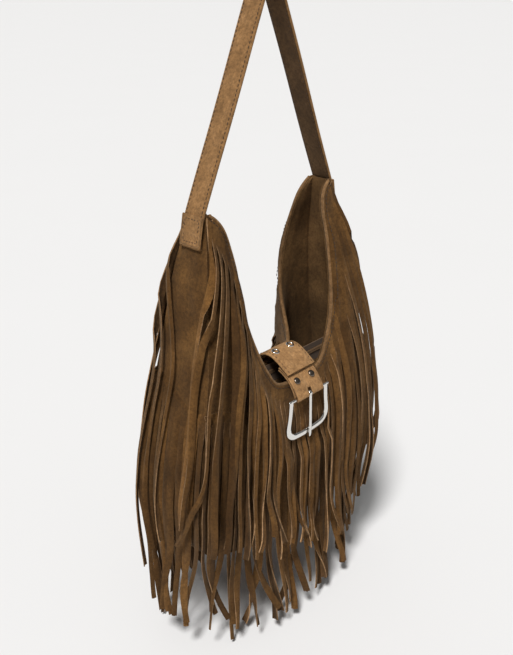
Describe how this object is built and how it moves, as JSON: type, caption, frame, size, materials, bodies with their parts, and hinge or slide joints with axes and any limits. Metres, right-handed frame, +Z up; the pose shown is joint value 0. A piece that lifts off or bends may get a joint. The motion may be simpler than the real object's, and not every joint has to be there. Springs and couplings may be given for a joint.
{
  "type": "fringed suede bag",
  "caption": "Slouchy suede shoulder bag with a deep scooped mouth, two tiers of cut fringe, one strap and a buckled closure tab.",
  "frame": {"origin": "underside of the strap's crown, where a peg or a hand carries the bag", "axes": "+X across the bag to its right as seen from the front, -Y out of the front with the buckle, +Z up"},
  "size_m": [0.3008, 0.1291, 0.6645],
  "materials": {
    "suede_brown": "napped suede",
    "lining_dark_brown": "brushed lining",
    "zip_tape_brown": "woven tape",
    "nickel_polished": "polished nickel",
    "nickel_dark": "dark nickel"
  },
  "bodies": {
    "bag": {"front_panel": "suede_brown", "back_panel": "suede_brown", "side_and_base_gusset": "suede_brown", "lining": "lining_dark_brown", "upper_fringe_front": "suede_brown", "upper_fringe_back": "suede_brown", "lower_fringe": "suede_brown", "shoulder_strap": "suede_brown", "strap_patch_left": "suede_brown", "strap_patch_right": "suede_brown", "closure_tab": "suede_brown", "buckle_loop": "suede_brown", "tab_eyelet_left": "nickel_polished", "tab_eyelet_right": "nickel_polished", "loop_rivet_left": "nickel_dark", "loop_rivet_right": "nickel_dark", "clasp_front_half": "nickel_dark", "clasp_tab_half": "nickel_dark", "inner_pocket": "lining_dark_brown", "zip_tape_lower": "zip_tape_brown", "zip_tape_upper": "zip_tape_brown", "zip_coil_lower": "nickel_dark", "zip_coil_upper": "nickel_dark", "zip_stop_left": "nickel_dark", "zip_stop_right": "nickel_dark"},
    "buckle_frame": {"buckle_frame": "nickel_polished"},
    "buckle_prong": {"buckle_prong": "nickel_polished"},
    "zip_slider": {"zip_slider": "nickel_polished"},
    "zip_pull": {"zip_pull": "nickel_polished"}
  },
  "joints": [
    {"name": "buckle_swing", "type": "hinge", "parent": "bag", "child": "buckle_frame", "pos_m": [0, -0.0656, -0.38666], "axis": [-1, 0, 0], "range_deg": [0, 90]},
    {"name": "prong_swing", "type": "hinge", "parent": "buckle_frame", "child": "buckle_prong", "pos_m": [0, -0.0656, -0.38666], "axis": [-1, 0, 0], "range_deg": [0, 60]},
    {"name": "zip_slide", "type": "slide", "parent": "bag", "child": "zip_slider", "axis": [1, 0, 0], "range_m": [-0.012, 0.094]},
    {"name": "zip_pull_swing", "type": "hinge", "parent": "zip_slider", "child": "zip_pull", "pos_m": [-0.024, -0.0256, -0.37306], "axis": [-1, 0, 0], "range_deg": [0, 45]}
  ]
}
